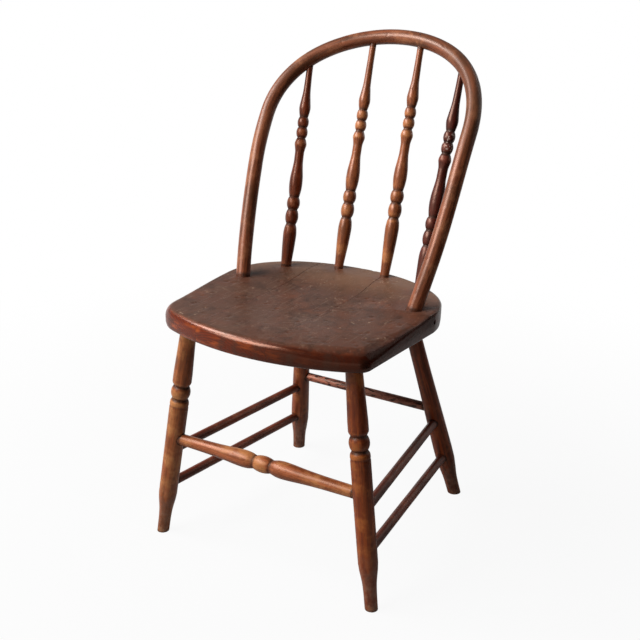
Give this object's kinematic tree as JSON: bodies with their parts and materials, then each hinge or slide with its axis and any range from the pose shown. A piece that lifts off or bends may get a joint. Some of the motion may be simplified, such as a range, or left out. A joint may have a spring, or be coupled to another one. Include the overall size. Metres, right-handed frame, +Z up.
{
  "type": "hoop-back spindle chair",
  "caption": "Free-standing wooden side chair: bent hoop back, turned spindles, dished plank seat, turned front legs and round stretchers, in dark worn varnish.",
  "frame": {"origin": "on the floor, under the middle of the whole chair's box", "axes": "+Z up; the sitter faces -Y; +X is to the right of someone who looks at the front of the chair"},
  "size_m": [0.448, 0.5067, 0.86],
  "materials": {
    "seat_planks": "dark brown stain under a worn satin varnish, scuffed on the sitting place",
    "bow": "dark brown stain under a glossy varnish, open grain",
    "spindles": "red-brown stain under a glossy varnish, darker in the turned necks",
    "legs": "brown stain under worn varnish, bare and grey towards the feet",
    "front_stretcher": "lighter amber-brown where shoes have rubbed the stain away",
    "plain_stretchers": "brown stain under crazed varnish",
    "iron": "dark oxidised iron"
  },
  "bodies": {
    "root": {"seat_board_left": "seat_planks", "seat_board_middle": "seat_planks", "seat_board_right": "seat_planks", "bow": "bow", "spindle_outer_left": "spindles", "spindle_inner_left": "spindles", "spindle_inner_right": "spindles", "spindle_outer_right": "spindles", "front_leg_left": "legs", "front_leg_right": "legs", "rear_leg_left": "legs", "rear_leg_right": "legs", "front_stretcher": "front_stretcher", "rear_stretcher": "plain_stretchers", "side_stretcher_upper_left": "plain_stretchers", "side_stretcher_upper_right": "plain_stretchers", "side_stretcher_lower_left": "plain_stretchers", "side_stretcher_lower_right": "plain_stretchers", "bow_screws": "iron", "spindle_brad": "iron"}
  },
  "joints": []
}
